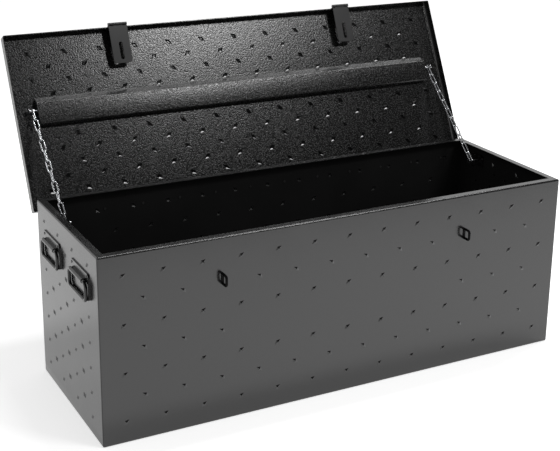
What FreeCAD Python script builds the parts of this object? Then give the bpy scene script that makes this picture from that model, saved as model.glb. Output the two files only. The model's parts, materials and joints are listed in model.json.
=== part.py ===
"""Jobsite storage box: a sheet-steel chest with a hinged lid, two hasps, four bail handles and two lid chains.

Frame: origin at the middle of the bottom face, X along the length, +Y to the back, +Z up, millimetres.
The lid stands open, and the pieces on it are drawn shut and then turned about the hinge axis.
"""
import FreeCAD
import Part
import os
import re

from FreeCAD import Placement, Rotation, Vector

SIZES = {
    # Box shell
    "box_length": 1219,
    "box_depth": 418,
    "box_height": 443,
    "wall": 2,
    "rim_width": 19,
    "pan_height": 20,
    "bend_share": 2,
    # Lid
    "lid_gap": 1,
    "lid_lip": 24,
    "lid_overhang": 8,
    "lid_end_overhang": 5,
    "lid_open": 116.5,
    # Stiffening channel under the lid
    "channel_width": 55,
    "channel_depth": 18,
    "channel_lean": 15,
    "channel_inset": 50,
    "channel_setback": 199,
    # Piano hinge
    "hinge_axis_back": 4.2,
    "hinge_axis_drop": 28.2,
    "hinge_inset": 20,
    "hinge_leaf": 1.4,
    "hinge_pin": 1.8,
    "knuckle": 3.6,
    "knuckle_gap": 0.5,
    "knuckle_count": 19,
    "box_leaf_height": 34,
    "lid_leaf_height": 27,
    "box_leaf_rivet_drop": 20,
    "lid_leaf_rivet_rise": 17,
    "hinge_rivet_count": 12,
    # Hasps
    "hasp_place": 323,
    "hasp_width": 49,
    "hasp_axis_front": 13,
    "hasp_axis_drop": 25,
    "hasp_barrel": 4,
    "hasp_tab": 1.3,
    "hasp_pin": 2.5,
    "hasp_plate": 2,
    "hasp_plate_rise": 25,
    "hasp_leaf_length": 100,
    "hasp_leaf": 3,
    "hasp_leaf_corner": 8,
    "hasp_slot_top": 46,
    "hasp_slot_bottom": 91,
    "hasp_slot_width": 9.5,
    "hasp_knuckle_width": 12,
    "hasp_gap": 0.5,
    "hasp_hang": 23.5,
    "hasp_rivet_out": 15,
    "hasp_rivet_rise": 16,
    # Staples that the hasps drop over
    "staple_drop": 97,
    "staple_rod": 3,
    "staple_height": 29,
    "staple_reach": 24.5,
    "staple_corner": 6,
    "staple_foot": 2,
    # Handles
    "handle_inset": 111,
    "handle_top": 56,
    "handle_width": 117,
    "handle_height": 62,
    "handle_plate": 3,
    "handle_corner": 8,
    "bail_bar": 4,
    "bail_past": 0.5,
    "bail_height": 50,
    "bail_corner": 12,
    "bail_drop": 76,
    "bail_gap": 0.5,
    "sleeve_length": 76,
    "sleeve_wall": 1.5,
    "handle_rivet_edge": 10.5,
    "handle_rivet_top": 7,
    "handle_rivet_in": 32,
    "handle_rivet_low": 44,
    # Lid chains
    "chain_inset": 38,
    "chain_box_back": 101.5,
    "chain_box_drop": 34.2,
    "chain_lid_setback": 189,
    "chain_lid_drop": 11,
    "chain_wire": 1.6,
    "chain_width": 7,
    "chain_gap": 0.2,
    "chain_pin": 2.5,
    "link_count": 11,
    "stud_past": 7.5,
    "stud_head": 6,
    "stud_head_height": 2.5,
    "bracket_plate": 3,
    "bracket_front": 8,
    "bracket_rise": 11,
    "bracket_width": 42,
    "bracket_height": 32,
    "bracket_flange": 12,
    # Rivets and fits
    "rivet_shank": 2,
    "rivet_head": 4,
    "rivet_head_height": 1.6,
    "rivet_crown_share": 0.55,
    "rivet_tail": 3,
    "rivet_tail_height": 1,
    "rivet_gap": 0.05,
    "pin_gap": 0.05,
    "overrun": 5,
}

FORMULAS = {
    "half_length": "=box_length / 2",
    "half_depth": "=box_depth / 2",
    "bend": "=wall * bend_share",
    "lid_under": "=box_height + lid_gap",
    "lid_top": "=lid_under + wall",
    "lid_edge": "=lid_top - lid_lip",
    "lid_half_length": "=half_length + lid_end_overhang",
    "lid_half_depth": "=half_depth + lid_overhang",
    "channel_end": "=half_length - channel_inset",
    "channel_y": "=channel_setback - lid_half_depth",
    "channel_skew": "=channel_lean / channel_depth",
    "channel_side": "=wall * sqrt(1 + channel_skew * channel_skew)",
    "hinge_y": "=half_depth + hinge_axis_back",
    "hinge_z": "=box_height - hinge_axis_drop",
    "hinge_half": "=half_length - hinge_inset",
    "hasp_y": "=-half_depth - hasp_axis_front",
    "hasp_z": "=box_height - hasp_axis_drop",
    "staple_half": "=staple_height / 2 - staple_rod",
    "staple_out": "=half_depth + staple_reach - staple_rod",
    "staple_z": "=box_height - staple_drop",
    "handle_place": "=half_depth - handle_inset",
    "handle_face": "=half_length + handle_plate",
    "handle_rivet_out": "=handle_width / 2 - handle_rivet_edge",
    "bail_x": "=handle_face + bail_gap + bail_bar",
    "bail_z": "=box_height - bail_drop",
    "bail_half": "=handle_width / 2 + bail_past - bail_bar",
    "bail_fall": "=bail_height - 2 * bail_bar",
    "sleeve": "=bail_bar + sleeve_wall",
    "chain_x": "=half_length - chain_inset",
    "box_pin_y": "=half_depth - chain_box_back",
    "box_pin_z": "=box_height - chain_box_drop",
    "lid_pin_y": "=chain_lid_setback - lid_half_depth",
    "lid_pin_z": "=lid_under - chain_lid_drop",
    "arm_y": "=lid_pin_y - hinge_y",
    "arm_z": "=lid_pin_z - hinge_z",
    "span_y": "=hinge_y + arm_y * cos(lid_open) + arm_z * sin(lid_open) - box_pin_y",
    "span_z": "=hinge_z + arm_z * cos(lid_open) - arm_y * sin(lid_open) - box_pin_z",
    "chain_span": "=sqrt(span_y * span_y + span_z * span_z)",
    "link_inner": "=(chain_span + 2 * chain_pin + (link_count + 1) * chain_gap) / link_count",
    "link_arc": "=chain_width / 2 + chain_wire",
    "link_straight": "=link_inner - chain_width",
}

NAMES = {**SIZES, **FORMULAS}
SAME_PLACE = 1e-6

doc = FreeCAD.newDocument("storage_box")
sheet = doc.addObject("Spreadsheet::Sheet", "Sizes")
for row, (name, entry) in enumerate(NAMES.items(), 1):
    sheet.set(f"A{row}", name)
    sheet.set(f"B{row}", str(entry))
    sheet.setAlias(f"B{row}", name)
doc.recompute()

nodes = []


def size(name):
    """Value of a sheet cell as a plain number."""
    return float(getattr(sheet, name))


def linked(text):
    """Expression with every alias pointed at the sheet."""
    return re.sub(r"[a-z][a-z_]*", lambda word: f"Sizes.{word[0]}" if word[0] in NAMES else word[0], text)


def bind(item, **cells):
    """Bind properties of an object to expressions."""
    for prop, text in cells.items():
        item.setExpression(prop, linked(text))
    return item


def locate(item, corner):
    """Bind the place of an object to three expressions."""
    for axis, text in zip("xyz", corner):
        item.setExpression(f"Placement.Base.{axis}", linked(text))
    return item


def block(label, low, high):
    """Box between two corners."""
    spans = [f"({stop}) - ({start})" for start, stop in zip(low, high)]
    item = bind(doc.addObject("Part::Box", label), Length=spans[0], Width=spans[1], Height=spans[2])
    return locate(item, low)


def slanted(label, low, high, lean):
    """Box between two corners whose front side leans out by a length on its way to the top."""
    item = doc.addObject("Part::Wedge", label)
    item.Placement = Placement(Vector(), Rotation(Vector(1, 0, 0), QUARTER))
    bind(item, Xmin=low[0], Xmax=high[0], X2min=low[0], X2max=high[0], Ymin=low[2], Ymax=high[2])
    back, front = f"-({high[1]})", f"-({low[1]})"
    return bind(item, Zmin=back, Z2min=back, Zmax=front, Z2max=f"{front} + {lean}")


QUARTER = 90
TURNS = {
    "x": Rotation(Vector(0, 0, 1), Vector(1, 0, 0)),
    "y": Rotation(Vector(0, 0, 1), Vector(0, 1, 0)),
    "z": Rotation(),
}
UPRIGHT = Rotation(Vector(0, 1, 0), Vector(0, 0, 1), Vector(1, 0, 0), "XYZ")


def rod(label, axis, start, length, radius):
    """Round bar along an axis."""
    item = doc.addObject("Part::Cylinder", label)
    item.Placement = Placement(Vector(), TURNS[axis])
    return locate(bind(item, Radius=radius, Height=length), start)


def elbow(label, middle, turn, sweep, radius, bar):
    """Bend of a round bar: part of a torus about the local Z axis, from the local X axis on."""
    item = doc.addObject("Part::Torus", label)
    item.Placement = Placement(Vector(), turn)
    item.Angle3 = sweep
    return locate(bind(item, Radius1=radius, Radius2=bar), middle)


def join(label, *items):
    """One solid from several that touch or overlap."""
    item = doc.addObject("Part::MultiFuse", label)
    item.Shapes = list(items)
    item.Refine = True
    return item


def trim(label, base, tool):
    """Base with the tool cut out of it."""
    item = doc.addObject("Part::Cut", label)
    item.Base = base
    item.Tool = tool
    return item


def rounded(label, base, radius, planes):
    """Base with the edges rounded that lie on two of the planes, each an axis letter and a value."""
    doc.recompute()
    picked = []
    for number, edge in enumerate(base.Shape.Edges, 1):
        held = 0
        for axis, value in planes:
            held += all(abs(getattr(end.Point, axis) - value) < SAME_PLACE for end in edge.Vertexes)
        if held > 1:
            picked.append((number, radius, radius))
    item = doc.addObject("Part::Fillet", label)
    item.Base = base
    item.Edges = picked
    return item


def mirrored(label, source, normal):
    """Mirror image of a piece in the plane through the origin."""
    item = doc.addObject("Part::Mirroring", label)
    item.Source = source
    item.Normal = normal
    return item


def copies(label, form, places):
    """Group of separate copies of a form, or the one copy."""
    doc.recompute()
    shapes = []
    for place in places:
        shape = form.Shape.copy()
        shape.Placement = place.multiply(shape.Placement)
        shapes.append(shape)
    item = doc.addObject("Part::Feature", label)
    item.Shape = shapes[0] if len(shapes) == 1 else Part.makeCompound(shapes)
    return item


def keep(*items):
    """List pieces to be written out."""
    nodes.extend(items)


LENGTHWISE = Vector(1, 0, 0)
DEPTHWISE = Vector(0, 1, 0)
hinge_point = Vector(0, size("hinge_y"), size("hinge_z"))
opened = Placement(Vector(), Rotation(LENGTHWISE, -size("lid_open")), hinge_point)


# Rivets: head, shank through the grip and closed tail, along the local Z axis

def rivet_form(label, grip):
    """Rivet and the hole it needs, with the underside of the head at the origin."""
    head = doc.addObject("Part::Cone", f"{label}_head")
    bind(head, Radius1="rivet_head", Radius2="rivet_head * rivet_crown_share", Height="rivet_head_height")
    low = ("0", "0", f"-({grip})")
    shank = rod(f"{label}_shank", "z", low, grip, "rivet_shank")
    tail_low = ("0", "0", f"-({grip}) - rivet_tail_height")
    tail = rod(f"{label}_tail", "z", tail_low, "rivet_tail_height", "rivet_tail")
    hole_low = ("0", "0", f"-({grip}) - overrun")
    hole = rod(f"{label}_hole", "z", hole_low, f"{grip} + 2 * overrun", "rivet_shank + rivet_gap")
    return join(f"{label}_form", head, shank, tail), hole


def facing(direction, points):
    """Places at the points with the local Z axis along a direction."""
    return [Placement(point, Rotation(Vector(0, 0, 1), direction)) for point in points]


def spread(count, half):
    """Evenly spaced values between minus and plus half, half a step in from the ends."""
    return [half * (2 * step + 1 - count) / count for step in range(count)]


rivet_xs = spread(int(size("hinge_rivet_count")), size("hinge_half"))
box_leaf_spots = facing(DEPTHWISE, [
    Vector(x, size("half_depth") + size("hinge_leaf"), size("hinge_z") - size("box_leaf_rivet_drop"))
    for x in rivet_xs])
lid_leaf_spots = facing(DEPTHWISE, [
    Vector(x, size("lid_half_depth"), size("hinge_z") + size("lid_leaf_rivet_rise")) for x in rivet_xs])
hasp_spots = facing(-DEPTHWISE, [
    Vector(side * size("hasp_place") + out * size("hasp_rivet_out"),
           -size("lid_half_depth") - size("hasp_plate"), size("hasp_z") + size("hasp_rivet_rise"))
    for side in (-1, 1) for out in (-1, 1)])
handle_rows = [(size("handle_rivet_out"), size("handle_rivet_top")),
               (size("handle_rivet_in"), size("handle_rivet_low"))]
handle_spots = [
    spot for end in (-1, 1) for spot in facing(LENGTHWISE * end, [
        Vector(end * size("handle_face"), side * size("handle_place") + hand * out,
               size("box_height") - size("handle_top") - drop)
        for side in (-1, 1) for hand in (-1, 1) for out, drop in handle_rows])]

hinge_rivet, hinge_hole = rivet_form("hinge_rivet", "wall + hinge_leaf")
hasp_rivet, hasp_hole = rivet_form("hasp_rivet", "wall + hasp_plate")
handle_rivet, handle_hole = rivet_form("handle_rivet", "wall + handle_plate")
hinge_rivets_box = copies("hinge_rivets_box", hinge_rivet, box_leaf_spots)
hinge_rivets_lid = copies("hinge_rivets_lid", hinge_rivet, lid_leaf_spots)
hasp_rivets = copies("hasp_rivets", hasp_rivet, hasp_spots)
handle_rivets = copies("handle_rivets", handle_rivet, handle_spots)
box_leaf_holes = copies("box_leaf_holes", hinge_hole, box_leaf_spots)
lid_leaf_holes = copies("lid_leaf_holes", hinge_hole, lid_leaf_spots)
hasp_holes = copies("hasp_holes", hasp_hole, hasp_spots)
handle_holes = copies("handle_holes", handle_hole, handle_spots)
hinge_rivets_lid.Placement = opened
hasp_rivets.Placement = opened
keep(hinge_rivets_box, hinge_rivets_lid, hasp_rivets, handle_rivets)


# Box shell: a bottom pan with low walls, two end panels with the corner bends, front and back between them

def shell_planes():
    """Outer planes of the box shell."""
    return [("x", -size("half_length")), ("x", size("half_length")), ("y", -size("half_depth")),
            ("y", size("half_depth"))]


pan_outer = block("pan_outer", ("-half_length", "-half_depth", "0"), ("half_length", "half_depth", "pan_height"))
pan_inner = block("pan_inner", ("wall - half_length", "wall - half_depth", "wall"),
                  ("half_length - wall", "half_depth - wall", "pan_height + overrun"))
pan_tray = trim("pan_tray", pan_outer, pan_inner)
bottom_pan = rounded("bottom_pan", pan_tray, size("bend"), shell_planes() + [("z", 0)])

end_outer = block("end_outer", ("-half_length", "-half_depth", "pan_height"),
                  ("rim_width - half_length", "half_depth", "box_height"))
end_inner = block("end_inner", ("wall - half_length", "wall - half_depth", "pan_height - overrun"),
                  ("rim_width - half_length + overrun", "half_depth - wall", "box_height - wall"))
end_folded = trim("end_folded", end_outer, end_inner)
end_bent = rounded("end_bent", end_folded, size("bend"), shell_planes() + [("z", size("box_height"))])
left_end_panel = trim("left_end_panel", end_bent, handle_holes)
right_end_panel = mirrored("right_end_panel", left_end_panel, LENGTHWISE)

front_outer = block("front_outer", ("rim_width - half_length", "-half_depth", "pan_height"),
                    ("half_length - rim_width", "rim_width - half_depth", "box_height"))
front_inner = block("front_inner", ("-half_length", "wall - half_depth", "pan_height - overrun"),
                    ("half_length", "rim_width - half_depth + overrun", "box_height - wall"))
front_folded = trim("front_folded", front_outer, front_inner)
front_panel = rounded("front_panel", front_folded, size("bend"), shell_planes() + [("z", size("box_height"))])
back_bent = mirrored("back_bent", front_panel, DEPTHWISE)
back_panel = trim("back_panel", back_bent, box_leaf_holes)
keep(bottom_pan, left_end_panel, right_end_panel, front_panel, back_panel)


# Staples: a bent rod on a foot strip, welded to the front

staple_bits = [rod("staple_bar", "z", ("-hasp_place", "-staple_out", "staple_z - staple_half + staple_corner"),
                   "2 * (staple_half - staple_corner)", "staple_rod")]
for name, sign, angle in (("high", "+", 90), ("low", "-", 180)):
    staple_bits.append(rod(f"staple_leg_{name}", "y",
                           ("-hasp_place", "staple_corner - staple_out", f"staple_z {sign} staple_half"),
                           "staple_out - staple_corner - half_depth", "staple_rod"))
    spot = ("-hasp_place", "staple_corner - staple_out", f"staple_z {sign} (staple_half - staple_corner)")
    turn = UPRIGHT.multiply(Rotation(Vector(0, 0, 1), angle))
    staple_bits.append(elbow(f"staple_bend_{name}", spot, turn, 90, "staple_corner", "staple_rod"))
staple_bits.append(block("staple_strip",
                         ("-hasp_place - staple_rod", "-half_depth - staple_foot", "staple_z - staple_half"),
                         ("staple_rod - hasp_place", "-half_depth", "staple_z + staple_half")))
staple_left = join("staple_left", *staple_bits)
staple_right = mirrored("staple_right", staple_left, LENGTHWISE)
keep(staple_left, staple_right)


# Lid: a tray with short lips, and a channel along the middle with a slanted side and closed ends

lid_outer = block("lid_outer", ("-lid_half_length", "-lid_half_depth", "lid_edge"),
                  ("lid_half_length", "lid_half_depth", "lid_top"))
lid_inner = block("lid_inner", ("wall - lid_half_length", "wall - lid_half_depth", "lid_edge - overrun"),
                  ("lid_half_length - wall", "lid_half_depth - wall", "lid_under"))
lid_tray = trim("lid_tray", lid_outer, lid_inner)
lid_planes = [("x", -size("lid_half_length")), ("x", size("lid_half_length")), ("y", -size("lid_half_depth")),
              ("y", size("lid_half_depth")), ("z", size("lid_top"))]
lid_bent = rounded("lid_bent", lid_tray, size("bend"), lid_planes)
lid_hinged = trim("lid_hinged", lid_bent, lid_leaf_holes)
lid_panel = trim("lid_panel", lid_hinged, hasp_holes)

channel_outer = slanted(
    "channel_outer", ("-channel_end", "channel_y - channel_width / 2", "lid_under - channel_depth"),
    ("channel_end", "channel_y + channel_width / 2", "lid_under"), "channel_lean")
channel_inner = slanted(
    "channel_inner",
    ("wall - channel_end", "channel_y - channel_width / 2 - channel_skew * wall + channel_side",
     "lid_under - channel_depth + wall"),
    ("channel_end - wall", "channel_y + channel_width / 2 - wall", "lid_under + overrun"),
    "channel_skew * (channel_depth - wall + overrun)")
channel_tray = trim("channel_tray", channel_outer, channel_inner)
channel_planes = [("y", size("channel_y") - size("channel_width") / 2),
                  ("y", size("channel_y") + size("channel_width") / 2),
                  ("z", size("lid_under") - size("channel_depth"))]
lid_channel = rounded("lid_channel", channel_tray, size("bend"), channel_planes)
for piece in (lid_panel, lid_channel):
    piece.Placement = opened
keep(lid_panel, lid_channel)


# Piano hinge: knuckles by turns on the box leaf and the lid leaf, on one long pin

def knuckle_row(label, first, tab_low, tab_high):
    """Every second knuckle of the row, each with the tab that carries it."""
    count = int(size("knuckle_count"))
    span = "2 * hinge_half / knuckle_count - knuckle_gap"
    barrel = rod(f"{label}_barrel", "x", (f"-({span}) / 2", "hinge_y", "hinge_z"), span, "knuckle")
    tab = block(f"{label}_tab", (f"-({span}) / 2", *tab_low), (f"({span}) / 2", *tab_high))
    form = join(f"{label}_form", barrel, tab)
    middles = spread(count, size("hinge_half"))[first::2]
    return copies(f"{label}_row", form, [Placement(Vector(x, 0, 0), Rotation()) for x in middles])


hinge_bore = rod("hinge_bore", "x", ("-half_length", "hinge_y", "hinge_z"), "box_length", "hinge_pin + pin_gap")
box_leaf_plate = block(
    "box_leaf_plate", ("-hinge_half", "half_depth", "hinge_z - box_leaf_height"),
    ("hinge_half", "half_depth + hinge_leaf", "hinge_z - knuckle - knuckle_gap"))
box_knuckles = knuckle_row("box_knuckle", 0, ("half_depth", "hinge_z - knuckle - knuckle_gap"),
                           ("half_depth + hinge_leaf", "hinge_z"))
box_leaf_whole = join("box_leaf_whole", box_leaf_plate, box_knuckles)
box_leaf_bored = trim("box_leaf_bored", box_leaf_whole, hinge_bore)
hinge_box_leaf = trim("hinge_box_leaf", box_leaf_bored, box_leaf_holes)

lid_leaf_plate = block(
    "lid_leaf_plate", ("-hinge_half", "lid_half_depth - wall - hinge_leaf", "hinge_z + knuckle + knuckle_gap"),
    ("hinge_half", "lid_half_depth - wall", "hinge_z + lid_leaf_height"))
lid_knuckles = knuckle_row("lid_knuckle", 1, ("lid_half_depth - wall - hinge_leaf", "hinge_z"),
                           ("lid_half_depth - wall", "hinge_z + knuckle + knuckle_gap"))
lid_leaf_whole = join("lid_leaf_whole", lid_leaf_plate, lid_knuckles)
lid_leaf_bored = trim("lid_leaf_bored", lid_leaf_whole, hinge_bore)
hinge_lid_leaf = trim("hinge_lid_leaf", lid_leaf_bored, lid_leaf_holes)
hinge_lid_leaf.Placement = opened

hinge_pin = rod("hinge_pin_rod", "x", ("-hinge_half", "hinge_y", "hinge_z"), "2 * hinge_half", "hinge_pin")
hinge_pin.Label = "hinge_pin"
keep(hinge_box_leaf, hinge_lid_leaf, hinge_pin)


# Hasps: a riveted leaf with two knuckles, a pin, and a slotted leaf that hangs from it

hasp_edge = "hasp_width / 2"
hasp_step = "hasp_width / 2 - hasp_knuckle_width"
hasp_lug_span = f"2 * ({hasp_step} - hasp_gap)"
hasp_plate_low = (f"-hasp_place - {hasp_edge}", "-lid_half_depth - hasp_plate", "hasp_z + hasp_barrel + hasp_gap")
hasp_plate_high = (f"{hasp_edge} - hasp_place", "-lid_half_depth", "hasp_z + hasp_plate_rise")
fixed_plate = block("fixed_plate", hasp_plate_low, hasp_plate_high)
fixed_lugs = []
for name, start in (("outer", f"-hasp_place - {hasp_edge}"), ("inner", f"{hasp_step} - hasp_place")):
    fixed_lugs.append(rod(f"fixed_barrel_{name}", "x", (start, "hasp_y", "hasp_z"), "hasp_knuckle_width",
                          "hasp_barrel"))
    fixed_lugs.append(block(
        f"fixed_tab_{name}", (start, "hasp_y", "hasp_z + hasp_barrel + hasp_gap - hasp_tab"),
        (f"{start} + hasp_knuckle_width", "-lid_half_depth", "hasp_z + hasp_barrel + hasp_gap")))
fixed_whole = join("fixed_whole", fixed_plate, *fixed_lugs)
hasp_bore = rod("hasp_bore", "x", ("-hasp_place - hasp_width", "hasp_y", "hasp_z"), "2 * hasp_width",
                "hasp_pin + pin_gap")
fixed_bored = trim("fixed_bored", fixed_whole, hasp_bore)
hasp_fixed_leaf_left = trim("hasp_fixed_leaf_left", fixed_bored, hasp_holes)
hasp_fixed_leaf_left.Placement = opened

leaf_low = (f"-hasp_place - {hasp_edge}", "hasp_y - hasp_leaf / 2", "hasp_z - hasp_leaf_length")
leaf_high = (f"{hasp_edge} - hasp_place", "hasp_y + hasp_leaf / 2", "hasp_z - hasp_barrel - hasp_gap")
leaf_plate = block("leaf_plate", leaf_low, leaf_high)
leaf_planes = [("x", -size("hasp_place") - size("hasp_width") / 2),
               ("x", -size("hasp_place") + size("hasp_width") / 2),
               ("z", size("hasp_z") - size("hasp_leaf_length"))]
leaf_round = rounded("leaf_round", leaf_plate, size("hasp_leaf_corner"), leaf_planes)
leaf_barrel = rod("leaf_barrel", "x", (f"-hasp_place - ({hasp_lug_span}) / 2", "hasp_y", "hasp_z"), hasp_lug_span,
                  "hasp_barrel")
leaf_neck = block("leaf_neck", (f"-hasp_place - ({hasp_lug_span}) / 2", "hasp_y - hasp_leaf / 2",
                                "hasp_z - hasp_barrel - hasp_gap"),
                  (f"({hasp_lug_span}) / 2 - hasp_place", "hasp_y + hasp_leaf / 2", "hasp_z"))
leaf_whole = join("leaf_whole", leaf_round, leaf_barrel, leaf_neck)
leaf_bored = trim("leaf_bored", leaf_whole, hasp_bore)
slot_end = "hasp_slot_width / 2"
slot_y = "hasp_y - hasp_leaf / 2 - overrun"
slot_depth = "hasp_leaf + 2 * overrun"
slot_middle = block(
    "slot_middle", (f"-hasp_place - {slot_end}", slot_y, f"hasp_z - hasp_slot_bottom + {slot_end}"),
    (f"{slot_end} - hasp_place", f"{slot_y} + {slot_depth}", f"hasp_z - hasp_slot_top - {slot_end}"))
slot_ends = [rod(f"slot_end_{name}", "y", ("-hasp_place", slot_y, spot), slot_depth, slot_end)
             for name, spot in (("high", f"hasp_z - hasp_slot_top - {slot_end}"),
                                ("low", f"hasp_z - hasp_slot_bottom + {slot_end}"))]
leaf_slot = join("leaf_slot", slot_middle, *slot_ends)
hasp_leaf_left = trim("hasp_leaf_left", leaf_bored, leaf_slot)
hasp_rod = rod("hasp_rod", "x", (f"-hasp_place - {hasp_edge}", "hasp_y", "hasp_z"), "hasp_width", "hasp_pin")

hasp_shut = Vector(0, size("hasp_y"), size("hasp_z"))
lean = Placement(Vector(), Rotation(LENGTHWISE, -size("hasp_hang")), hasp_shut)
hung = Placement(opened.multVec(hasp_shut) - hasp_shut, Rotation()).multiply(lean)
hasp_leaf_left.Placement = hung
hasp_pin_left = copies("hasp_pin_left", hasp_rod, [hung])
keep(hasp_fixed_leaf_left, hasp_leaf_left, hasp_pin_left)
for piece in (hasp_fixed_leaf_left, hasp_leaf_left, hasp_pin_left):
    keep(mirrored(piece.Label.replace("left", "right"), piece, LENGTHWISE))


# Handles: a plate with a rolled sleeve on each end panel, and a bail that hangs in the sleeve

plate_low = ("-handle_face", "-handle_place - handle_width / 2", "box_height - handle_top - handle_height")
plate_high = ("-half_length", "handle_width / 2 - handle_place", "box_height - handle_top")
plate_flat = block("plate_flat", plate_low, plate_high)
plate_planes = [("y", -size("handle_place") - size("handle_width") / 2),
                ("y", -size("handle_place") + size("handle_width") / 2),
                ("z", size("box_height") - size("handle_top")),
                ("z", size("box_height") - size("handle_top") - size("handle_height"))]
plate_round = rounded("plate_round", plate_flat, size("handle_corner"), plate_planes)
sleeve_low = "-handle_place - sleeve_length / 2"
sleeve_high = "sleeve_length / 2 - handle_place"
sleeve_roll = rod("sleeve_roll", "y", ("-bail_x", sleeve_low, "bail_z"), "sleeve_length", "sleeve")
sleeve_web = block("sleeve_web", ("-bail_x", sleeve_low, "bail_z"),
                   ("-half_length", sleeve_high, "bail_z + sleeve"))
plate_rolled = join("plate_rolled", plate_round, sleeve_roll, sleeve_web)
sleeve_bore = rod("sleeve_bore", "y", ("-bail_x", "-handle_place - handle_width", "bail_z"), "2 * handle_width",
                  "bail_bar + pin_gap")
plate_bored = trim("plate_bored", plate_rolled, sleeve_bore)
plate_left_front = trim("handle_plate_left_front", plate_bored, handle_holes)

bail_run = "2 * (bail_half - bail_corner)"
bail_rise = "bail_fall - 2 * bail_corner"
bail_bits = []
for name, spot in (("top", "bail_z"), ("low", "bail_z - bail_fall")):
    bail_bits.append(rod(f"bail_{name}", "y", ("-bail_x", f"-handle_place - ({bail_run}) / 2", spot), bail_run,
                         "bail_bar"))
for name, spot in (("front", "-handle_place - bail_half"), ("rear", "bail_half - handle_place")):
    bail_bits.append(rod(f"bail_{name}", "z", ("-bail_x", spot, "bail_z - bail_fall + bail_corner"), bail_rise,
                         "bail_bar"))
bail_ends = {
    0: ("bail_half - bail_corner - handle_place", "bail_z - bail_corner"),
    90: ("bail_corner - bail_half - handle_place", "bail_z - bail_corner"),
    180: ("bail_corner - bail_half - handle_place", "bail_z - bail_fall + bail_corner"),
    270: ("bail_half - bail_corner - handle_place", "bail_z - bail_fall + bail_corner"),
}
for angle, spot in bail_ends.items():
    turn = UPRIGHT.multiply(Rotation(Vector(0, 0, 1), angle))
    bail_bits.append(elbow(f"bail_bend_{angle}", ("-bail_x", *spot), turn, 90, "bail_corner", "bail_bar"))
bail_left_front = join("handle_bail_left_front", *bail_bits)
for front in (plate_left_front, bail_left_front):
    rear = mirrored(front.Label.replace("front", "rear"), front, DEPTHWISE)
    keep(front, rear)
    for piece in (front, rear):
        keep(mirrored(piece.Label.replace("left", "right"), piece, LENGTHWISE))


# Chain ends: a stud on an angle bracket inside each end panel, and a screw in each end of the channel

bracket_low = ("wall - half_length", "box_pin_y - bracket_front", "box_pin_z + bracket_rise - bracket_height")
bracket_high = ("wall + bracket_plate - half_length", "box_pin_y - bracket_front + bracket_width",
                "box_pin_z + bracket_rise")
bracket_leaf = block("bracket_leaf", bracket_low, bracket_high)
flange_low = ("wall - half_length", "box_pin_y - bracket_front", "box_pin_z + bracket_rise - bracket_plate")
flange_high = ("wall + bracket_flange - half_length", "box_pin_y - bracket_front + bracket_width",
               "box_pin_z + bracket_rise")
bracket_shelf = block("bracket_shelf", flange_low, flange_high)
chain_bracket_left = join("chain_bracket_left", bracket_leaf, bracket_shelf)
box_stud = rod("box_stud", "x", ("wall + bracket_plate - half_length", "box_pin_y", "box_pin_z"),
               "half_length - wall - bracket_plate - chain_x + stud_past", "chain_pin")
box_stud_head = rod("box_stud_head", "x", ("stud_past - chain_x", "box_pin_y", "box_pin_z"), "stud_head_height",
                    "stud_head")
chain_stud_left = join("chain_stud_left", box_stud, box_stud_head)
lid_screw = rod("lid_screw", "x", ("-chain_x - stud_past", "lid_pin_y", "lid_pin_z"),
                "chain_x + stud_past - channel_end", "chain_pin")
lid_screw_head = rod("lid_screw_head", "x", ("-chain_x - stud_past - stud_head_height", "lid_pin_y", "lid_pin_z"),
                     "stud_head_height", "stud_head")
chain_screw_left = join("chain_screw_left", lid_screw, lid_screw_head)
chain_screw_left.Placement = opened
for piece in (chain_bracket_left, chain_stud_left, chain_screw_left):
    keep(piece, mirrored(piece.Label.replace("left", "right"), piece, LENGTHWISE))


# Lid chains: oval links, by turns upright and flat, pulled straight between the stud and the screw

link_sides = [rod(f"link_side_{name}", "x", ("-link_straight / 2", spot, "0"), "link_straight", "chain_wire")
              for name, spot in (("near", "-link_arc"), ("far", "link_arc"))]
link_ends = [elbow(f"link_end_{angle}", (f"{sign}link_straight / 2", "0", "0"),
                   Rotation(Vector(0, 0, 1), angle), 180, "link_arc", "chain_wire")
             for sign, angle in (("", -90), ("-", 90))]
link_form = join("link_form", *link_sides, *link_ends)
along = Vector(0, size("span_y"), size("span_z")).normalize()
first_pivot = Vector(-size("chain_x"), size("box_pin_y"), size("box_pin_z"))
count = int(size("link_count"))
inner = size("link_inner")
wire = size("chain_wire")
gap = size("chain_gap")
travel = 0.0
for number in range(1, count + 1):
    if number % 2:
        hole_start = travel - gap - (size("chain_pin") if number == 1 else wire)
        middle = hole_start + inner / 2
        travel = hole_start + inner - gap - wire
        turn = Rotation(along, LENGTHWISE.cross(along), LENGTHWISE, "XYZ")
    else:
        middle = travel + wire + inner / 2
        travel += inner + 2 * wire
        turn = Rotation(along, LENGTHWISE, along.cross(LENGTHWISE), "XYZ")
    link = copies(f"chain_link_{number:02d}_left", link_form, [Placement(first_pivot + along * middle, turn)])
    keep(link, mirrored(link.Label.replace("left", "right"), link, LENGTHWISE))


doc.recompute()
for item in doc.Objects:
    if "Invalid" in item.State or "Error" in item.State:
        raise RuntimeError(f"{item.Label} failed: {item.State}")
for item in nodes:
    if item.Shape.isNull() or not item.Shape.isValid():
        raise RuntimeError(f"{item.Label} has no valid shape")

os.makedirs("parts", exist_ok=True)
for item in nodes:
    item.Shape.exportStep(f"parts/{item.Label}.step")
    print(f"{item.Label}: {len(item.Shape.Solids)} solids, {item.Shape.Volume:.1f} mm3")
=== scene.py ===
"""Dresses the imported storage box: pressed sheet panels, handles, hasps, chains, finishes and the studio."""
import json
import logging
import math
from dataclasses import dataclass, field
from enum import Enum
from typing import ClassVar

import bpy
from mathutils import Matrix, Vector


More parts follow.
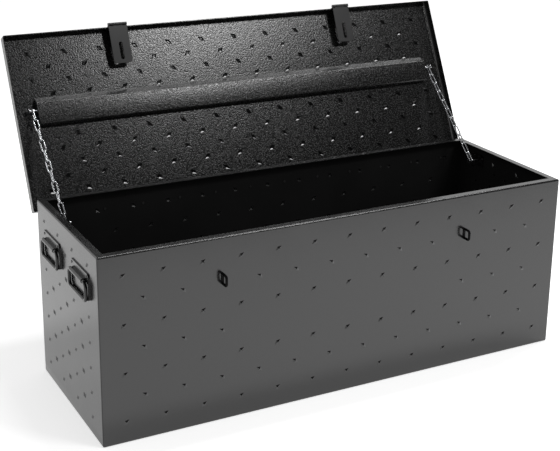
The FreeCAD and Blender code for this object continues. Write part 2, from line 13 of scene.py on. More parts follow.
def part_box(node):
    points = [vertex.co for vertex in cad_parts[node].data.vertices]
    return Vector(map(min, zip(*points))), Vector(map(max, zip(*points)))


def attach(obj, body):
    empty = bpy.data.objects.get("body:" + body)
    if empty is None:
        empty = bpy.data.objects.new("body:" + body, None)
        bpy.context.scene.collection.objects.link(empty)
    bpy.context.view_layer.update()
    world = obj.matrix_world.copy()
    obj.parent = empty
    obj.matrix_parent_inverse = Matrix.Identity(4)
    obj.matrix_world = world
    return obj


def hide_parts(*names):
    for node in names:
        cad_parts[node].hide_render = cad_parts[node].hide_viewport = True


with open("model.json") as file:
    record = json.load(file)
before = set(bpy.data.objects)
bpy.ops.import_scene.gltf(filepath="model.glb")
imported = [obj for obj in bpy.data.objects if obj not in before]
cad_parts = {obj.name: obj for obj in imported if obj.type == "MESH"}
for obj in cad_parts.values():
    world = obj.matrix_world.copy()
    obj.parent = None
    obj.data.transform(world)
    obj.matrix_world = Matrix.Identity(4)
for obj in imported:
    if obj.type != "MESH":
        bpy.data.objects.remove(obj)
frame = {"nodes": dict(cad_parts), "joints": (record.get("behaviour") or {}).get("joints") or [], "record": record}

LOG = logging.getLogger("storage_box")
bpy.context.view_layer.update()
BODY_OF = {node: body for body, nodes in frame["record"]["behaviour"]["bodies"].items() for node in nodes}


class Side(Enum):
    """The two ends of the box, with the sign of X on each."""

    LEFT = -1
    RIGHT = 1


class End(Enum):
    """The two handles on an end, with the sign of Y of each."""

    FRONT = -1
    REAR = 1


class Slant(Enum):
    """The two ways a pressed lozenge leans, in degrees from the row."""

    RISING = 38.0
    FALLING = 142.0


@dataclass(frozen=True)
class PowderCoat:
    """A sprayed coat with an orange-peel skin.

    Args:
        name: Name of the material.
        colour: Linear colour of the coat.
        roughness: Gloss of the coat, 0 for a mirror.
        peel: Width of one grain of the skin, in metres.
        depth: Height of the skin, in metres.
        gloss: Refractive index of the coat.
        mottle: Share by which the colour and gloss drift.
        grit: Share by which the gloss changes from grain to grain.
    """

    name: str
    colour: tuple[float, float, float]
    roughness: float
    peel: float
    depth: float
    gloss: float = 1.5
    mottle: float = 0.12
    grit: float = 0.0
    skin_detail: ClassVar[float] = 1.5
    cloud_detail: ClassVar[float] = 3.0
    cloud_grains: ClassVar[float] = 60

    def material(self) -> bpy.types.Material:
        """Builds the coat once and returns it."""
        made = bpy.data.materials.get(self.name)
        if made:
            return made
        net = Net(self.name)
        net.set("IOR", self.gloss)
        skin = net.noise(self.peel, self.skin_detail)
        cloud = net.noise(self.peel * self.cloud_grains, self.cloud_detail)
        dark = tuple(part * (1 - self.mottle) for part in self.colour)
        pale = tuple(part * (1 + self.mottle) for part in self.colour)
        net.ramp(cloud, dark, pale, "Base Color")
        drift = self.grit or self.mottle
        source = skin if self.grit else cloud
        net.spread(source, self.roughness * (1 - drift), self.roughness * (1 + drift), "Roughness")
        net.bump(skin, self.depth)
        return net.material


@dataclass(frozen=True)
class ZincPlate:
    """Bright zinc on steel wire, with a faint crystal bloom.

    Args:
        name: Name of the material.
        colour: Linear colour of the plating.
        roughness: Middle roughness.
        bloom: Width of one crystal patch, in metres.
        depth: Height of the drawn wire's marks, in metres.
    """

    name: str
    colour: tuple[float, float, float]
    roughness: float
    bloom: float
    depth: float
    patch_detail: ClassVar[float] = 2.0
    grain_detail: ClassVar[float] = 1.0
    grains_across: ClassVar[float] = 6
    dark_share: ClassVar[float] = 0.82
    roughness_drift: ClassVar[float] = 0.3

    def material(self) -> bpy.types.Material:
        """Builds the plating once and returns it."""
        made = bpy.data.materials.get(self.name)
        if made:
            return made
        net = Net(self.name)
        net.set("Metallic", 1.0)
        patch = net.noise(self.bloom, self.patch_detail)
        grain = net.noise(self.bloom / self.grains_across, self.grain_detail)
        dark = tuple(part * self.dark_share for part in self.colour)
        net.ramp(patch, dark, self.colour, "Base Color")
        drift = self.roughness_drift
        net.spread(grain, self.roughness * (1 - drift), self.roughness * (1 + drift), "Roughness")
        net.bump(grain, self.depth)
        return net.material


class Net:
    """A material's node tree while it is being wired."""

    noise_low: ClassVar[float] = 0.3
    noise_high: ClassVar[float] = 0.7

    def __init__(self, name: str) -> None:
        """Starts a material with a bare shader.

        Args:
            name: Name of the material.
        """
        self.material = bpy.data.materials.new(name)
        self.material.use_nodes = True
        self.tree = self.material.node_tree
        self.shader = self.tree.nodes["Principled BSDF"]
        self.place = self.tree.nodes.new("ShaderNodeTexCoord").outputs["Object"]

    def set(self, socket: str, value: float) -> None:
        """Sets one socket of the shader to a plain number."""
        self.shader.inputs[socket].default_value = value

    def noise(self, grain: float, detail: float) -> bpy.types.NodeSocket:
        """Adds a noise of one grain size.

        Args:
            grain: Width of a grain in metres.
            detail: Octaves of finer grain.

        Returns:
            The noise value's socket.
        """
        node = self.tree.nodes.new("ShaderNodeTexNoise")
        node.inputs["Scale"].default_value = 1 / grain
        node.inputs["Detail"].default_value = detail
        self.tree.links.new(self.place, node.inputs["Vector"])
        return node.outputs["Fac"]

    def ramp(self, source: bpy.types.NodeSocket, dark: tuple, pale: tuple, socket: str) -> None:
        """Lets a colour drift between two tones.

        Args:
            source: The value that moves the colour.
            dark: Tone at the low end.
            pale: Tone at the high end.
            socket: The shader's socket that takes the colour.
        """
        node = self.tree.nodes.new("ShaderNodeValToRGB")
        low, high = node.color_ramp.elements
        low.position, high.position = self.noise_low, self.noise_high
        low.color, high.color = (*dark, 1), (*pale, 1)
        self.tree.links.new(source, node.inputs["Fac"])
        self.tree.links.new(node.outputs["Color"], self.shader.inputs[socket])

    def spread(self, source: bpy.types.NodeSocket, low: float, high: float, socket: str) -> None:
        """Lets a number drift between two values.

        Args:
            source: The value that moves the number.
            low: Number at the low end.
            high: Number at the high end.
            socket: The shader's socket that takes the number.
        """
        node = self.tree.nodes.new("ShaderNodeMapRange")
        node.inputs["From Min"].default_value = self.noise_low
        node.inputs["From Max"].default_value = self.noise_high
        node.inputs["To Min"].default_value = low
        node.inputs["To Max"].default_value = high
        self.tree.links.new(source, node.inputs["Value"])
        self.tree.links.new(node.outputs["Result"], self.shader.inputs[socket])

    def bump(self, source: bpy.types.NodeSocket, depth: float) -> None:
        """Raises the surface by a value.

        Args:
            source: The height value.
            depth: Height in metres of a full step of the value.
        """
        node = self.tree.nodes.new("ShaderNodeBump")
        node.inputs["Strength"].default_value = 1.0
        node.inputs["Distance"].default_value = depth
        self.tree.links.new(source, node.inputs["Height"])
        self.tree.links.new(node.outputs["Normal"], self.shader.inputs["Normal"])


BOX_COAT = PowderCoat("panel_powder", (0.012, 0.012, 0.0123), 0.2, 0.0022, 0.00001, 1.66)
INNER_COAT = PowderCoat("inside_powder", (0.016, 0.016, 0.016), 0.9, 0.0026, 0.00004, 1.05)
LID_COAT = PowderCoat("lid_powder", (0.006, 0.006, 0.006), 0.22, 0.003, 0.00034, 1.6, grit=0.6)
# Coat of the lid's hollows: smoother and glossier, and half as dark in colour, which is painted shade in the
# hollows.
MARK_SHADE_COAT = PowderCoat("lid_mark_powder", (0.003, 0.003, 0.003), 0.12, 0.003, 0.00002, 1.45)
HANDLE_COAT = PowderCoat("handle_powder", (0.006, 0.006, 0.006), 0.18, 0.0016, 0.00002)
HASP_COAT = PowderCoat("hasp_satin", (0.012, 0.012, 0.0125), 0.4, 0.0014, 0.00002)
STAPLE_COAT = PowderCoat("staple_black", (0.004, 0.004, 0.004), 0.55, 0.0014, 0.00002, 1.2)
HINGE_STEEL = PowderCoat("hinge_satin", (0.03, 0.03, 0.03), 0.35, 0.0014, 0.00002)
ZINC = ZincPlate("bright_zinc", (0.72, 0.73, 0.75), 0.22, 0.006, 0.00002)


class Bench:
    """The modelling steps that all pieces share."""

    merge: float = 0.00001
    flat: float = math.radians(0.5)
    crease: float = math.radians(32)
    sheet_crease: float = math.radians(13)

    @staticmethod
    def only(piece: bpy.types.Object) -> None:
        """Selects one object alone and makes it active."""
        bpy.ops.object.select_all(action="DESELECT")
        piece.select_set(True)
        bpy.context.view_layer.objects.active = piece

    @classmethod
    def node_copy(cls, node: str, name: str) -> bpy.types.Object:
        """Copies a CAD node's mesh and joins its loose triangles into clean faces.

        Args:
            node: The CAD node.
            name: Name of the new piece.

        Returns:
            The copy, which stands for the node and rides on its body.
        """
        piece = bpy.data.objects.new(name, frame["nodes"][node].data.copy())
        bpy.context.scene.collection.objects.link(piece)
        piece.data.materials.clear()
        cls.only(piece)
        bpy.ops.object.mode_set(mode="EDIT")
        bpy.ops.mesh.select_all(action="SELECT")
        bpy.ops.mesh.customdata_custom_splitnormals_clear()
        bpy.ops.mesh.remove_doubles(threshold=cls.merge)
        bpy.ops.mesh.dissolve_limited(angle_limit=cls.flat)
        bpy.ops.object.mode_set(mode="OBJECT")
        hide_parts(node)
        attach(piece, BODY_OF[node])
        return piece

    @classmethod
    def soften(cls, piece: bpy.types.Object, width: float, steps: int = 2) -> None:
        """Rounds the sharp edges of a piece.

        Args:
            piece: The piece.
            width: Width of the rounding, in metres.
            steps: Faces across the rounding.
        """
        step = piece.modifiers.new("soften", "BEVEL")
        step.width = width
        step.segments = steps
        step.limit_method = "ANGLE"
        step.angle_limit = cls.crease
        cls.only(piece)
        bpy.ops.object.modifier_apply(modifier=step.name)

    @classmethod
    def smooth(cls, piece: bpy.types.Object, crease: float = crease) -> None:
        """Shades a piece smooth up to a crease angle."""
        cls.only(piece)
        bpy.ops.object.shade_smooth_by_angle(angle=crease)

    @classmethod
    def level(cls, piece: bpy.types.Object) -> None:
        """Lets large faces keep their own direction beside small roundings."""
        step = piece.modifiers.new("level", "WEIGHTED_NORMAL")
        step.keep_sharp = True
        cls.only(piece)
        bpy.ops.object.modifier_apply(modifier=step.name)

    @classmethod
    def carve(cls, piece: bpy.types.Object, cutter: bpy.types.Object) -> None:
        """Cuts one mesh out of a piece and removes the cutter."""
        step = piece.modifiers.new("carve", "BOOLEAN")
        step.operation = "DIFFERENCE"
        step.solver = "EXACT"
        step.object = cutter
        cls.only(piece)
        bpy.ops.object.modifier_apply(modifier=step.name)
        bpy.data.objects.remove(cutter, do_unlink=True)

    @staticmethod
    def weld(piece: bpy.types.Object, other: bpy.types.Object) -> None:
        """Joins another mesh into a piece, as one object."""
        bpy.ops.object.select_all(action="DESELECT")
        other.select_set(True)
        piece.select_set(True)
        bpy.context.view_layer.objects.active = piece
        bpy.ops.object.join()

    @staticmethod
    def coat(piece: bpy.types.Object, slot: str, *finishes: PowderCoat | ZincPlate) -> None:
        """Gives a piece its finishes, the first on all faces.

        Args:
            piece: The piece.
            slot: The record's slot that the piece belongs to; not used.
            finishes: The finishes, in the order of the piece's material slots.
        """
        piece.data.materials.clear()
        for finish in finishes:
            piece.data.materials.append(finish.material())


@dataclass
class Lozenge:
    """One pressed mark of the sheet: a long low diamond.

    Args:
        length: Length of the diamond.
        width: Width across it.
        height: How far it stands out of the sheet.
        crown: Share of the outline that its flat crown keeps.
        sink: How far its foot reaches into the sheet.
        rounding: Rounding of its edges.
    """

    length: float = 0.020
    width: float = 0.0115
    height: float = 0.0024
    crown: float = 0.12
    sink: float = 0.0002
    rounding: float = 0.0004

    def stamp(self) -> bpy.types.Object:
        """Models the mark once, at the origin, standing along +Z.

        Returns:
            The closed mesh.
        """
        bpy.ops.object.select_all(action="DESELECT")
        deep = self.height + self.sink
        bpy.ops.mesh.primitive_cone_add(vertices=4, radius1=0.5, radius2=0.5 * self.crown, depth=deep,
                                        location=(0, 0, self.height - deep / 2))
        mark = bpy.context.active_object
        bpy.ops.object.mode_set(mode="EDIT")
        bpy.ops.mesh.select_all(action="SELECT")
        bpy.ops.transform.resize(value=(self.length, self.width, 1))
        bpy.ops.mesh.bevel(offset=self.rounding, segments=2)
        bpy.ops.object.mode_set(mode="OBJECT")
        bpy.ops.object.transform_apply(location=True, rotation=True, scale=True)
        return mark

    def spread(self, name: str, places: list[Matrix]) -> bpy.types.Object:
        """Copies the mark to many places and joins the copies.

        Args:
            name: Name of the joined mesh.
            places: Where each copy goes.

        Returns:
            The joined mesh.
        """
        mark = self.stamp()
        twins = []
        for place in places:
            twin = bpy.data.objects.new(name, mark.data.copy())
            twin.data.transform(place)
            bpy.context.scene.collection.objects.link(twin)
            twins.append(twin)
        bpy.data.objects.remove(mark, do_unlink=True)
        bpy.ops.object.select_all(action="DESELECT")
        for twin in twins:
            twin.select_set(True)
        bpy.context.view_layer.objects.active = twins[0]
        bpy.ops.object.join()
        return twins[0]


@dataclass
class Sheet:
    """A flat face of the box or lid that carries rows of pressed marks.

    Args:
        middle: Middle of the outer face.
        across: Direction of the rows.
        up: Direction from row to row.
        wall: Thickness of the sheet.
        mark: The pressed mark.
    """

    middle: Vector
    across: Vector
    up: Vector
    wall: float
    mark: Lozenge = field(default_factory=Lozenge)

    def place(self, u: float, v: float, slant: Slant, depth: float = 0.0) -> Matrix:
        """Works out where one mark goes.

        Args:
            u: Distance from the middle along the rows.
            v: Distance from the middle across the rows.
            slant: The mark's lean.
            depth: Distance under the outer face.

        Returns:
            The mark's placement.
        """
        out = self.across.cross(self.up)
        turn = math.radians(slant.value)
        along = self.across * math.cos(turn) + self.up * math.sin(turn)
        side = out.cross(along)
        spot = self.middle + self.across * u + self.up * v - out * depth
        rows = Matrix((along, side, out)).transposed().to_4x4()
        return Matrix.Translation(spot) @ rows

    def press(self, piece: bpy.types.Object, marks: list[tuple[float, float, Slant]],
              hidden: list[tuple[float, float, Slant]] | None = None) -> None:
        """Presses marks into a sheet: raised outside, hollow inside.

        Args:
            piece: The sheet's mesh.
            marks: Place and lean of each mark.
            hidden: Marks that show on the outside alone.
        """
        dents = [self.place(u, v, slant, self.wall) for u, v, slant in marks]
        Bench.carve(piece, self.mark.spread("dents", dents))
        bumps = [self.place(u, v, slant) for u, v, slant in marks + (hidden or [])]
        Bench.weld(piece, self.mark.spread("bumps", bumps))


@dataclass
class Shell:
    """The box itself: four pressed walls on a bottom pan.

    Args:
        wall: Thickness of the sheet.
        front_pitch: Distance between marks along a front row.
        front_row: Distance between front rows.
        front_rows: Number of front rows.
        front_columns: Marks in a long front row.
        bare_row: Front row whose middle stays bare.
        bare_reach: Half width of the bare middle.
        end_pitch: Distance between columns on an end.
        end_row: Distance between marks in a column of an end.
        end_columns: Columns on an end.
        end_shift: How far the end pattern sits behind the middle.
        end_lift: How far the end pattern sits above the middle.
        handle_margin: Bare border round a handle.
        rim: Height under the top that belongs to the rim.
    """

    wall: float = 0.002
    front_pitch: float = 0.0925
    front_row: float = 0.0572
    front_rows: int = 7
    front_columns: int = 13
    bare_row: int = 3
    bare_reach: float = 0.26
    end_pitch: float = 0.0502
    end_row: float = 0.060
    end_columns: int = 7
    end_shift: float = 0.0066
    end_lift: float = 0.0035
    handle_margin: float = 0.006
    rim: float = 0.006

    def __post_init__(self) -> None:
        """Reads the box's outline from the frame."""
        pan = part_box("bottom_pan")
        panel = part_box("left_end_panel")
        self.low = pan[0]
        self.high = Vector((pan[1].x, pan[1].y, panel[1].z))
        self.middle = (self.low + self.high) / 2

    def front_marks(self, bare: bool) -> list[tuple[float, float, Slant]]:
        """Lists the marks of the front or the back.

        Args:
            bare: True to leave out the bare middle and the places of the staples.

        Returns:
            Place and lean of each mark.
        """
        marks = []
        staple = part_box("staple_right")
        staple_x, staple_z = (staple[0].x + staple[1].x) / 2, (staple[0].z + staple[1].z) / 2
        for row in range(self.front_rows):
            count = self.front_columns - row % 2
            slant = Slant.FALLING if row % 2 else Slant.RISING
            v = ((self.front_rows - 1) / 2 - row) * self.front_row
            for column in range(count):
                u = (column - (count - 1) / 2) * self.front_pitch
                near_staple = math.hypot(abs(u) - staple_x, v + self.middle.z - staple_z) < self.front_row / 2
                in_bare = row == self.bare_row and abs(u) < self.bare_reach
                if not (bare and (near_staple or in_bare)):
                    marks.append((u, v, slant))
        return marks

    def end_marks(self, side: Side) -> list[tuple[float, float, Slant]]:
        """Lists the marks of an end panel.

        Args:
            side: The end.

        Returns:
            Place and lean of each mark, none of them under a handle.
        """
        plates = [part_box(f"handle_plate_{side.name.lower()}_{end.name.lower()}") for end in End]
        marks = []
        for column in range(self.end_columns):
            count = self.end_columns - column % 2
            y = (column - (self.end_columns - 1) / 2) * self.end_pitch + self.end_shift
            slant = Slant.FALLING if column % 2 else Slant.RISING
            for row in range(count):
                z = ((count - 1) / 2 - row) * self.end_row + self.middle.z + self.end_lift
                if not any(self.covers(plate, y, z) for plate in plates):
                    marks.append((y * side.value, z - self.middle.z, slant))
        return marks

    def covers(self, plate: tuple[Vector, Vector], y: float, z: float) -> bool:
        """Tells whether a handle plate lies over a point of the end."""
        gap = self.handle_margin
        return plate[0].y - gap < y < plate[1].y + gap and plate[0].z - gap < z < plate[1].z + gap

    def line(self, piece: bpy.types.Object) -> None:
        """Gives the faces inside the box the duller inner coat."""
        skin = self.wall / 2
        for face in piece.data.polygons:
            spot = face.center
            deep_x = self.low.x + skin < spot.x < self.high.x - skin
            deep_y = self.low.y + skin < spot.y < self.high.y - skin
            deep_z = self.low.z + skin < spot.z < self.high.z - self.rim
            face.material_index = 1 if deep_x and deep_y and deep_z else 0

    def wall_piece(self, node: str, sheet: Sheet, marks: list[tuple[float, float, Slant]]) -> None:
        """Builds one pressed wall.

        Args:
            node: The CAD node it stands for.
            sheet: The wall's outer face.
            marks: Its pressed marks.
        """
        piece = Bench.node_copy(node, node + "_pressed")
        sheet.press(piece, marks)
        Bench.smooth(piece, Bench.sheet_crease)
        Bench.level(piece)
        Bench.coat(piece, "box_coat", BOX_COAT, INNER_COAT)
        self.line(piece)
        LOG.info("%s: %d pressed marks", piece.name, len(marks))

    def build(self) -> None:
        """Builds the four walls and the pan."""
        x_way, y_way, z_way = Vector((1, 0, 0)), Vector((0, 1, 0)), Vector((0, 0, 1))
        front = Sheet(Vector((self.middle.x, self.low.y, self.middle.z)), x_way, z_way, self.wall)
        back = Sheet(Vector((self.middle.x, self.high.y, self.middle.z)), -x_way, z_way, self.wall)
        left = Sheet(Vector((self.low.x, self.middle.y, self.middle.z)), -y_way, z_way, self.wall)
        right = Sheet(Vector((self.high.x, self.middle.y, self.middle.z)), y_way, z_way, self.wall)
        self.wall_piece("front_panel", front, self.front_marks(True))
        self.wall_piece("back_panel", back, self.front_marks(False))
        self.wall_piece("left_end_panel", left, self.end_marks(Side.LEFT))
        self.wall_piece("right_end_panel", right, self.end_marks(Side.RIGHT))
        pan = Bench.node_copy("bottom_pan", "bottom_pan_lined")
        Bench.smooth(pan)
        Bench.coat(pan, "box_coat", BOX_COAT, INNER_COAT)
        self.line(pan)
        LOG.info("%s built", pan.name)


@dataclass
class Lid:
    """The lid with its rows of marks, its channel and its hinge.

    Args:
        wall: Thickness of the sheet.
        pitch: Distance between marks along a row.
        row: Distance between rows.
        rows: Number of rows.
        columns: Marks in a long row.
        channel_margin: Bare border beside the channel.
        bend: Rounding of the inner corners between the panel and its lips.
        bend_steps: Faces across that rounding.
        skin: Distance within which a point counts as lying on a face.
        facing: How far a face has to turn inward to take the coat of the hollows, whose darker colour is painted
            shade.
        mark: The lid's pressed mark.
    """

    wall: float = 0.002
    pitch: float = 0.0927
    row: float = 0.0342
    rows: int = 11
    columns: int = 13
    channel_margin: float = 0.006
    bend: float = 0.006
    bend_steps: int = 3
    skin: float = 0.0001
    facing: float = 0.05
    mark: Lozenge = field(default_factory=lambda: Lozenge(0.0235, 0.0128, 0.0027))

    def __post_init__(self) -> None:
        """Reads the hinge from the frame and works out the turn from shut to open."""
        hinge = next(joint for joint in frame["joints"] if joint["name"] == "lid_hinge")
        spot = Matrix.Translation(Vector(hinge["pos_m"]))
        angle = -math.radians(hinge["range_deg"][1])
        self.opened = spot @ Matrix.Rotation(angle, 4, "X") @ spot.inverted()

    def shut_box(self, node: str) -> tuple[Vector, Vector]:
        """Gives a lid node's box as it lies with the lid shut.

        Args:
            node: The CAD node.

        Returns:
            Lowest and highest corner.
        """
        back = self.opened.inverted()
        spots = [back @ vertex.co for vertex in frame["nodes"][node].data.vertices]
        low = Vector([min(spot[axis] for spot in spots) for axis in range(3)])
        high = Vector([max(spot[axis] for spot in spots) for axis in range(3)])
        return low, high

    def marks(self) -> tuple[list, list]:
        """Lists the lid's marks.

        Returns:
            The marks that show on both faces, and those whose inside the channel hides.
        """
        low, high = self.shut_box("lid_panel")
        channel = self.shut_box("lid_channel")
        shown, hidden = [], []
        for row in range(self.rows):
            count = self.columns - row % 2
            slant = Slant.FALLING if row % 2 else Slant.RISING
            v = (row - (self.rows - 1) / 2) * self.row
            y = v + (low.y + high.y) / 2
            under = channel[0].y - self.channel_margin < y < channel[1].y + self.channel_margin
            for column in range(count):
                u = (column - (count - 1) / 2) * self.pitch
                (hidden if under else shown).append((u, v, slant))
        return shown, hidden

    def round_bends(self, piece: bpy.types.Object) -> None:
        """Rounds the inner corners between the panel and its end lips."""
        low, high = self.shut_box("lid_panel")
        back = self.opened.inverted()
        inner = high.z - self.wall
        Bench.only(piece)
        bpy.ops.object.mode_set(mode="EDIT")
        bpy.ops.mesh.select_mode(type="EDGE")
        bpy.ops.mesh.select_all(action="DESELECT")
        bpy.ops.object.mode_set(mode="OBJECT")
        lips = (low.x + self.wall, high.x - self.wall)
        for edge in piece.data.edges:
            ends = [back @ piece.data.vertices[index].co for index in edge.vertices]
            level = all(abs(spot.z - inner) < self.skin for spot in ends)
            edge.select = level and any(all(abs(spot.x - lip) < self.skin for spot in ends) for lip in lips)
        LOG.info("%s: %d bends", piece.name, sum(edge.select for edge in piece.data.edges))
        bpy.ops.object.mode_set(mode="EDIT")
        bpy.ops.mesh.bevel(offset=self.bend, segments=self.bend_steps, affect="EDGES")
        bpy.ops.object.mode_set(mode="OBJECT")

    def coat_marks(self, piece: bpy.types.Object) -> None:
        """Gives the hollows of the marks their smoother coat, whose darker colour is painted shade."""
        back = self.opened.inverted()
        inner = self.shut_box("lid_panel")[1].z - self.wall
        inward = self.opened.to_3x3() @ Vector((0, 0, -1))
        for face in piece.data.polygons:
            deep = (back @ face.center).z > inner + self.skin
            face.material_index = 1 if deep and face.normal.dot(inward) > self.facing else 0

    def build(self) -> None:
        """Builds the pressed lid and dresses what is fixed to it."""
        low, high = self.shut_box("lid_panel")
        turn = self.opened.to_3x3()
        top = self.opened @ Vector(((low.x + high.x) / 2, (low.y + high.y) / 2, high.z))
        sheet = Sheet(top, turn @ Vector((1, 0, 0)), turn @ Vector((0, 1, 0)), self.wall, self.mark)
        shown, hidden = self.marks()
        piece = Bench.node_copy("lid_panel", "lid_panel_pressed")
        self.round_bends(piece)
        sheet.press(piece, shown, hidden)
        Bench.smooth(piece, Bench.sheet_crease)
        # The second finish darkens the hollows of the marks with painted shade.
        Bench.coat(piece, "lid_coat", LID_COAT, MARK_SHADE_COAT)
        self.coat_marks(piece)
        LOG.info("%s: %d pressed marks", piece.name, len(shown) + len(hidden))
        channel = Bench.node_copy("lid_channel", "lid_channel_formed")
        Bench.smooth(channel)
        Bench.coat(channel, "lid_coat", LID_COAT)
        LOG.info("%s built", channel.name)


@dataclass
class Handles:
    """The four lifting handles: a pad with a rolled sleeve, and a bail in it.

    Args:
        pad: Thickness of the pad.
        skin: Depth within which a face counts as the pad's own.
    """

    pad: float = 0.003
    skin: float = 0.0004

    def build(self, side: Side, end: End) -> None:
        """Builds one handle.

        Args:
            side: The end panel.
            end: The handle on it.
        """
        key = f"{side.name.lower()}_{end.name.lower()}"
        node = "handle_plate_" + key
        plate = Bench.node_copy(node, node + "_dressed")
        Bench.smooth(plate)
        Bench.coat(plate, "box_coat", BOX_COAT, HANDLE_COAT)
        low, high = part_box(node)
        root = high.x if side is Side.LEFT else low.x
        for face in plate.data.polygons:
            face.material_index = 1 if abs(face.center.x - root) > self.pad + self.skin else 0
        bail = Bench.node_copy("handle_bail_" + key, "handle_bail_" + key + "_ring")
        Bench.smooth(bail)
        Bench.coat(bail, "handle_coat", HANDLE_COAT)
        LOG.info("%s and %s built", plate.name, bail.name)


@dataclass
class Hasps:
    """The two hasps and their staples.

    Args:
        edge: Rounding of the pressed leaf's edges.
    """

    edge: float = 0.0005

    def build(self, side: Side) -> None:
        """Builds one hasp and its staple.

        Args:
            side: The end of the box nearer to it.
        """
        key = side.name.lower()
        for node in (f"hasp_leaf_{key}", f"hasp_fixed_leaf_{key}"):
            leaf = Bench.node_copy(node, node + "_edged")
            Bench.soften(leaf, self.edge)
            Bench.smooth(leaf)
            Bench.level(leaf)
            Bench.coat(leaf, "hasp_coat", HASP_COAT)
            LOG.info("%s built", leaf.name)
        staple = Bench.node_copy(f"staple_{key}", f"staple_{key}_rod")
        Bench.smooth(staple)
        Bench.coat(staple, "hasp_coat", STAPLE_COAT)
        LOG.info("%s built", staple.name)


@dataclass
class Chains:
    """The two lid chains.

    Args:
        links: Links in each chain.
    """

    links: int = 11

    def build(self, side: Side) -> None:
        """Dresses the links of one chain.

        Args:
            side: The end of the box that it hangs at.
        """
        key = side.name.lower()
        for number in range(1, self.links + 1):
            node = f"chain_link_{number:02d}_{key}"
            link = Bench.node_copy(node, node + "_wire")
            Bench.smooth(link)
            Bench.coat(link, "zinc_steel", ZINC)
        LOG.info("chain %s: %d links", key, self.links)


@dataclass
class Fittings:
    """The small parts that keep their CAD shape and get a finish."""

    finishes: dict[str, PowderCoat | ZincPlate] = field(default_factory=lambda: {
        "box_coat": BOX_COAT, "lid_coat": LID_COAT, "handle_coat": HANDLE_COAT, "hasp_coat": HASP_COAT,
        "hinge_steel": HINGE_STEEL, "zinc_steel": ZINC})

    def build(self) -> None:
        """Gives every CAD node that still shows the finish of its slot."""
        for part in frame["record"]["subparts"]:
            node, slot = frame["nodes"][part["node"]], part["material_slot"]
            if not node.hide_render:
                node.data.materials.clear()
                node.data.materials.append(self.finishes[slot].material())
                LOG.info("%s coated as %s", node.name, slot)


@dataclass(frozen=True)
class Card:
    """A flat lamp or black card of the studio.

    Args:
        name: Its name.
        place: Its middle.
        target: What it faces.
        size: Width and height.
        glow: Brightness of a lamp's face, where 1 is white.
    """

    name: str
    place: tuple[float, float, float]
    target: tuple[float, float, float]
    size: tuple[float, float]
    glow: float = 0.0

    def aim(self) -> Matrix:
        """Works out the card's placement from where it stands and what it faces."""
        place = Vector(self.place)
        turn = (Vector(self.target) - place).to_track_quat("-Z", "Y")
        return Matrix.Translation(place) @ turn.to_matrix().to_4x4()


LID_MIDDLE = (0, 0.3, 0.6)
LAMPS = (
    Card("lid_softbox", (1.6, -2.2, 3.45), LID_MIDDLE, (1.1, 0.5), 20.0),
    Card("top_softbox", (1.2, 0.4, 3.1), (1.2, 0.4, 0), (2.4, 0.45), 16.0),
)
FLAGS = (
    Card("front_flag", (0.5, -6.0, 4.3), LID_MIDDLE, (14.0, 8.0)),
    Card("top_flag", (0, 0, 6.0), (0, 0, 0), (14.0, 12.0)),
    Card("floor_flag", (1.5, -3.5, 0.004), (1.5, -3.5, 1.0), (6.0, 4.0)),
    Card("right_flag", (4.0, 0.3, 1.8), (0, 0.3, 1.8), (4.0, 3.0)),
)


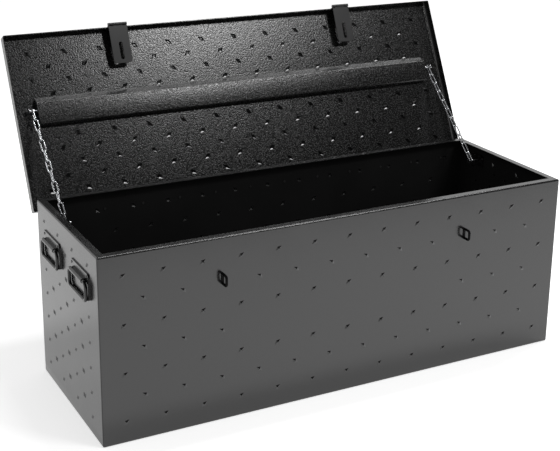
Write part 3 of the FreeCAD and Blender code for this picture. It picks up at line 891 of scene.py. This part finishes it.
@dataclass
class Studio:
    """The white floor, the soft light and the camera.

    Args:
        floor_size: Side of the floor.
        floor_drop: How far the floor lies under the box.
        floor_colour: Brightness of the floor as it throws light back.
        floor_lift: Glow of the floor as the camera sees it.
        flag_colour: Brightness of the black cards.
        sky: Strength of the light from all round.
        camera_place: Where the camera stands.
        camera_turn: Degrees that it is turned from +Y to +X.
        camera_tilt: Degrees that it looks down.
        camera_roll: Degrees that it is rolled.
        focal: Focal length in pixels of the picture.
        picture: Width and height of the picture.
        axis: Pixel that the lens points at.
        sensor: Width of the sensor in millimetres.
        reach: Farthest distance that the camera shows.
    """

    floor_size: float = 40.0
    floor_drop: float = 0.0003
    floor_colour: float = 0.8
    floor_lift: float = 0.58
    flag_colour: float = 0.004
    sky: float = 0.38
    camera_place: tuple[float, float, float] = (-1.372, -2.461, 1.381)
    camera_turn: float = 27.82
    camera_tilt: float = 17.54
    camera_roll: float = 0.65
    focal: float = 1222.1
    picture: tuple[int, int] = (560, 451)
    axis: tuple[float, float] = (280.0, 170.0)
    sensor: float = 36.0
    reach: float = 100

    @staticmethod
    def seen(tree: bpy.types.NodeTree) -> bpy.types.NodeSocket:
        """Adds the test for rays that show the background.

        Args:
            tree: The node tree.

        Returns:
            A socket that is 1 for camera, glossy and transmission rays.
        """
        path = tree.nodes.new("ShaderNodeLightPath")
        total = path.outputs["Is Camera Ray"]
        for name in ("Is Glossy Ray", "Is Transmission Ray"):
            larger = tree.nodes.new("ShaderNodeMath")
            larger.operation = "MAXIMUM"
            tree.links.new(total, larger.inputs[0])
            tree.links.new(path.outputs[name], larger.inputs[1])
            total = larger.outputs[0]
        return total

    def floor(self) -> None:
        """Lays the floor, which keeps the object's shadow."""
        bpy.ops.object.select_all(action="DESELECT")
        bpy.ops.mesh.primitive_plane_add(size=self.floor_size, location=(0, 0, -self.floor_drop))
        floor = bpy.context.active_object
        floor.name = "studio_floor"
        material = bpy.data.materials.new("studio_floor")
        material.use_nodes = True
        tree = material.node_tree
        tree.nodes.clear()
        grey, white = tree.nodes.new("ShaderNodeBsdfDiffuse"), tree.nodes.new("ShaderNodeBsdfDiffuse")
        grey.inputs["Color"].default_value = (self.floor_colour,) * 3 + (1,)
        white.inputs["Color"].default_value = (1, 1, 1, 1)
        glow = tree.nodes.new("ShaderNodeEmission")
        glow.inputs["Strength"].default_value = self.floor_lift
        both, choice = tree.nodes.new("ShaderNodeAddShader"), tree.nodes.new("ShaderNodeMixShader")
        out = tree.nodes.new("ShaderNodeOutputMaterial")
        tree.links.new(white.outputs[0], both.inputs[0])
        tree.links.new(glow.outputs[0], both.inputs[1])
        tree.links.new(self.seen(tree), choice.inputs[0])
        tree.links.new(grey.outputs[0], choice.inputs[1])
        tree.links.new(both.outputs[0], choice.inputs[2])
        tree.links.new(choice.outputs[0], out.inputs["Surface"])
        floor.data.materials.append(material)

    def world(self) -> None:
        """Sets a white surround that also lights the object softly."""
        world = bpy.data.worlds.new("studio")
        bpy.context.scene.world = world
        world.use_nodes = True
        tree = world.node_tree
        light = tree.nodes["Background"]
        light.inputs["Strength"].default_value = self.sky
        light.inputs["Color"].default_value = (1, 1, 1, 1)
        shown = tree.nodes.new("ShaderNodeBackground")
        shown.inputs["Color"].default_value = (1, 1, 1, 1)
        choice = tree.nodes.new("ShaderNodeMixShader")
        tree.links.new(self.seen(tree), choice.inputs[0])
        tree.links.new(light.outputs[0], choice.inputs[1])
        tree.links.new(shown.outputs[0], choice.inputs[2])
        tree.links.new(choice.outputs[0], tree.nodes["World Output"].inputs["Surface"])

    @staticmethod
    def softbox(card: Card) -> None:
        """Hangs a soft lamp.

        Args:
            card: The lamp.
        """
        lamp = bpy.data.lights.new(card.name, "AREA")
        lamp.shape = "RECTANGLE"
        lamp.size, lamp.size_y = card.size
        lamp.energy = card.glow * math.pi * lamp.size * lamp.size_y
        lit = bpy.data.objects.new(card.name, lamp)
        bpy.context.scene.collection.objects.link(lit)
        lit.matrix_world = card.aim()

    def flag(self, card: Card) -> None:
        """Stands a black card that only reflections see.

        Args:
            card: The black card.
        """
        bpy.ops.object.select_all(action="DESELECT")
        bpy.ops.mesh.primitive_plane_add(size=1.0)
        sheet = bpy.context.active_object
        sheet.name = card.name
        sheet.data.transform(card.aim() @ Matrix.Diagonal((*card.size, 1, 1)))
        net = Net(card.name)
        net.set("Roughness", 1.0)
        net.set("Specular IOR Level", 0.0)
        net.shader.inputs["Base Color"].default_value = (self.flag_colour,) * 3 + (1,)
        sheet.data.materials.append(net.material)
        sheet.visible_camera = False
        sheet.visible_diffuse = False
        sheet.visible_shadow = False

    def camera(self) -> None:
        """Sets the camera where the photograph was taken from."""
        lens = bpy.data.cameras.new("photo_camera")
        wide, tall = self.picture
        lens.sensor_width = self.sensor
        lens.lens = self.focal * self.sensor / wide
        lens.shift_x = (wide / 2 - self.axis[0]) / wide
        lens.shift_y = (self.axis[1] - tall / 2) / wide
        lens.clip_end = self.reach
        angles = (self.camera_turn, self.camera_tilt, self.camera_roll)
        turn, tilt, roll = (math.radians(angle) for angle in angles)
        look = Vector((math.sin(turn) * math.cos(tilt), math.cos(turn) * math.cos(tilt), -math.sin(tilt)))
        right = look.cross(Vector((0, 0, 1))).normalized()
        up = right.cross(look)
        rolled_right = right * math.cos(roll) + up * math.sin(roll)
        rolled_up = up * math.cos(roll) - right * math.sin(roll)
        body = bpy.data.objects.new("photo_camera", lens)
        bpy.context.scene.collection.objects.link(body)
        turned = Matrix((rolled_right, rolled_up, -look)).transposed().to_4x4()
        body.matrix_world = Matrix.Translation(Vector(self.camera_place)) @ turned
        bpy.context.scene.camera = body

    def build(self) -> None:
        """Builds the floor, the light and the camera."""
        bpy.context.scene.view_settings.view_transform = "Standard"
        self.floor()
        self.world()
        for lamp in LAMPS:
            self.softbox(lamp)
        for flag in FLAGS:
            self.flag(flag)
        self.camera()


def main() -> None:
    """Builds every sub-assembly in order, then the studio."""
    logging.basicConfig(level=logging.INFO, format="%(message)s")
    Shell().build()
    Lid().build()
    for side in Side:
        for end in End:
            Handles().build(side, end)
        Hasps().build(side)
        Chains().build(side)
    Fittings().build()
    Studio().build()


if __name__ == "__main__":
    main()
